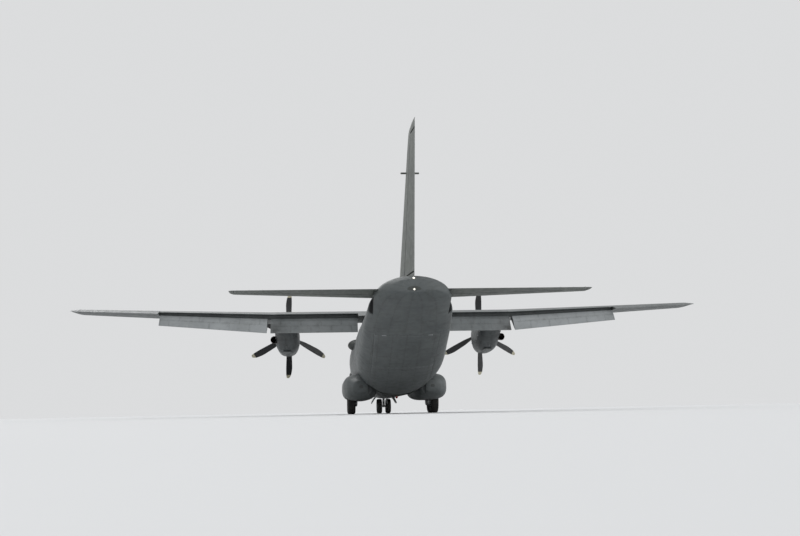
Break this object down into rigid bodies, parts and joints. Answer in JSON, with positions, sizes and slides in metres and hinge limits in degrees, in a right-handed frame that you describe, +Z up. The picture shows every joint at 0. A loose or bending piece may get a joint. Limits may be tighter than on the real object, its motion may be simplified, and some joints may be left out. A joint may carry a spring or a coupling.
{
  "type": "military transport plane",
  "caption": "High-wing twin-turboprop military transport on its landing gear, flaps down, with propellers, control surfaces, rear ramp and doors that move.",
  "frame": {"origin": "on the floor under the middle of the bounding box, in the plane of symmetry", "axes": "+X to the aircraft's port side, +Y towards the tail, +Z up"},
  "size_m": [28.7, 22.7, 9.64],
  "materials": {
    "skin": "matt grey paint on aluminium",
    "composite": "matt grey paint on composite",
    "windscreen": "clear",
    "interior": "matt paint",
    "seat": "woven",
    "rim": "satin",
    "gear": "gloss paint on steel",
    "engine": "bare metal",
    "exhaust": "heat-stained metal",
    "blade": "matt black composite",
    "tyre": "worn rubber"
  },
  "bodies": {
    "airframe": {"radome": "composite", "windscreen": "windscreen", "fuselage_forward": "skin", "fuselage_centre": "skin", "fuselage_aft": "skin", "troop_door_port": "skin", "troop_door_starboard": "skin", "tailplane": "skin", "tail_cone": "skin", "fin": "skin", "wing_centre": "skin", "wing_outer_port": "skin", "wing_outer_starboard": "skin", "wing_fairing": "composite", "cargo_floor": "interior", "cockpit_floor": "interior", "instrument_panel": "interior", "pilot_seat_port": "seat", "pilot_seat_starboard": "seat", "sponson_port": "skin", "sponson_starboard": "skin", "nacelle_port": "skin", "nacelle_starboard": "skin", "engine_port": "engine", "engine_starboard": "engine", "exhaust_port": "exhaust", "exhaust_starboard": "exhaust", "nose_leg": "gear", "nose_gear_door_port": "skin", "nose_gear_door_starboard": "skin", "main_gear_legs_port": "gear", "main_gear_legs_starboard": "gear"},
    "nose_strut": {"nose_fork": "gear"},
    "nose_wheels": {"nose_rims": "rim", "nose_tyre_port": "tyre", "nose_tyre_starboard": "tyre"},
    "main_wheel_fore_port": {"main_rim_fore_port": "rim", "main_tyre_fore_port": "tyre"},
    "main_wheel_aft_port": {"main_rim_aft_port": "rim", "main_tyre_aft_port": "tyre"},
    "main_wheel_fore_starboard": {"main_rim_fore_starboard": "rim", "main_tyre_fore_starboard": "tyre"},
    "main_wheel_aft_starboard": {"main_rim_aft_starboard": "rim", "main_tyre_aft_starboard": "tyre"},
    "rotor_port": {"propeller_port": "blade", "spinner_port": "composite"},
    "rotor_starboard": {"propeller_starboard": "blade", "spinner_starboard": "composite"},
    "flap_inboard_port_panel": {"flap_inboard_port": "skin"},
    "flap_inboard_starboard_panel": {"flap_inboard_starboard": "skin"},
    "flap_outboard_port_panel": {"flap_outboard_port": "skin"},
    "flap_outboard_starboard_panel": {"flap_outboard_starboard": "skin"},
    "aileron_port_panel": {"aileron_port": "composite"},
    "aileron_starboard_panel": {"aileron_starboard": "composite"},
    "elevator_port_panel": {"elevator_port": "composite"},
    "elevator_starboard_panel": {"elevator_starboard": "composite"},
    "rudder_panel": {"rudder": "composite"},
    "cargo_ramp": {"ramp": "skin"},
    "cargo_door_panel": {"cargo_door": "skin"},
    "crew_door_panel": {"crew_door": "skin"}
  },
  "joints": [
    {"name": "nose_steering", "type": "hinge", "parent": "airframe", "child": "nose_strut", "pos_m": [0, -8.3, 0.5], "axis": [0, 0, 1], "range_deg": [-55, 55]},
    {"name": "nose_wheel_spin", "type": "hinge", "parent": "nose_strut", "child": "nose_wheels", "pos_m": [0, -8.3, 0.3685], "axis": [1, 0, 0], "continuous": true},
    {"name": "main_wheel_fore_port_spin", "type": "hinge", "parent": "airframe", "child": "main_wheel_fore_port", "pos_m": [1.834, -2.72, 0.495], "axis": [1, 0, 0], "continuous": true},
    {"name": "main_wheel_aft_port_spin", "type": "hinge", "parent": "airframe", "child": "main_wheel_aft_port", "pos_m": [1.834, -1.42, 0.495], "axis": [1, 0, 0], "continuous": true},
    {"name": "main_wheel_fore_starboard_spin", "type": "hinge", "parent": "airframe", "child": "main_wheel_fore_starboard", "pos_m": [-1.834, -2.72, 0.495], "axis": [1, 0, 0], "continuous": true},
    {"name": "main_wheel_aft_starboard_spin", "type": "hinge", "parent": "airframe", "child": "main_wheel_aft_starboard", "pos_m": [-1.834, -1.42, 0.495], "axis": [1, 0, 0], "continuous": true},
    {"name": "propeller_port_spin", "type": "hinge", "parent": "airframe", "child": "rotor_port", "pos_m": [4.75, -6.25, 3.87], "axis": [0, 1, 0], "continuous": true},
    {"name": "propeller_starboard_spin", "type": "hinge", "parent": "airframe", "child": "rotor_starboard", "pos_m": [-4.75, -6.25, 3.87], "axis": [0, 1, 0], "continuous": true},
    {"name": "flap_inboard_port_raise", "type": "hinge", "parent": "airframe", "child": "flap_inboard_port_panel", "pos_m": [3.4525, -1.98191, 4.19369], "axis": [1, 0, 0], "range_deg": [0, 40]},
    {"name": "flap_inboard_starboard_raise", "type": "hinge", "parent": "airframe", "child": "flap_inboard_starboard_panel", "pos_m": [-3.4525, -1.98191, 4.19369], "axis": [1, 0, 0], "range_deg": [0, 40]},
    {"name": "flap_outboard_port_raise", "type": "hinge", "parent": "airframe", "child": "flap_outboard_port_panel", "pos_m": [7.9175, -2.15138, 4.34143], "axis": [0.9959, -0.0684, 0.0596], "range_deg": [0, 40]},
    {"name": "flap_outboard_starboard_raise", "type": "hinge", "parent": "airframe", "child": "flap_outboard_starboard_panel", "pos_m": [-7.9175, -2.15138, 4.34143], "axis": [0.9959, 0.0684, -0.0596], "range_deg": [0, 40]},
    {"name": "aileron_port_turn", "type": "hinge", "parent": "airframe", "child": "aileron_port_panel", "pos_m": [12.155, -2.32025, 4.72445], "axis": [0.9957, -0.0795, 0.0478], "range_deg": [-20, 25]},
    {"name": "aileron_starboard_turn", "type": "hinge", "parent": "airframe", "child": "aileron_starboard_panel", "pos_m": [-12.155, -2.32025, 4.72445], "axis": [0.9957, 0.0795, -0.0478], "range_deg": [-20, 25]},
    {"name": "elevator_port_turn", "type": "hinge", "parent": "airframe", "child": "elevator_port_panel", "pos_m": [3.68, 8.95463, 4.18], "axis": [0.9957, 0.0922, 0], "range_deg": [-15, 25]},
    {"name": "elevator_starboard_turn", "type": "hinge", "parent": "airframe", "child": "elevator_starboard_panel", "pos_m": [-3.68, 8.95463, 4.18], "axis": [0.9957, -0.0922, 0], "range_deg": [-15, 25]},
    {"name": "rudder_turn", "type": "hinge", "parent": "airframe", "child": "rudder_panel", "pos_m": [0, 9.3221, 7.03], "axis": [0, 0.4594, 0.8882], "range_deg": [-30, 30]},
    {"name": "ramp_lower", "type": "hinge", "parent": "airframe", "child": "cargo_ramp", "pos_m": [0, 1.05, 1.326], "axis": [1, 0, 0], "range_deg": [-31, 0]},
    {"name": "cargo_door_raise", "type": "hinge", "parent": "airframe", "child": "cargo_door_panel", "pos_m": [0, 6.835, 2.83], "axis": [1, 0, 0], "range_deg": [-30, 0]},
    {"name": "crew_door_lower", "type": "hinge", "parent": "airframe", "child": "crew_door_panel", "pos_m": [1.352, -6.85, 1.352], "axis": [0, 1, 0], "range_deg": [0, 125]}
  ]
}
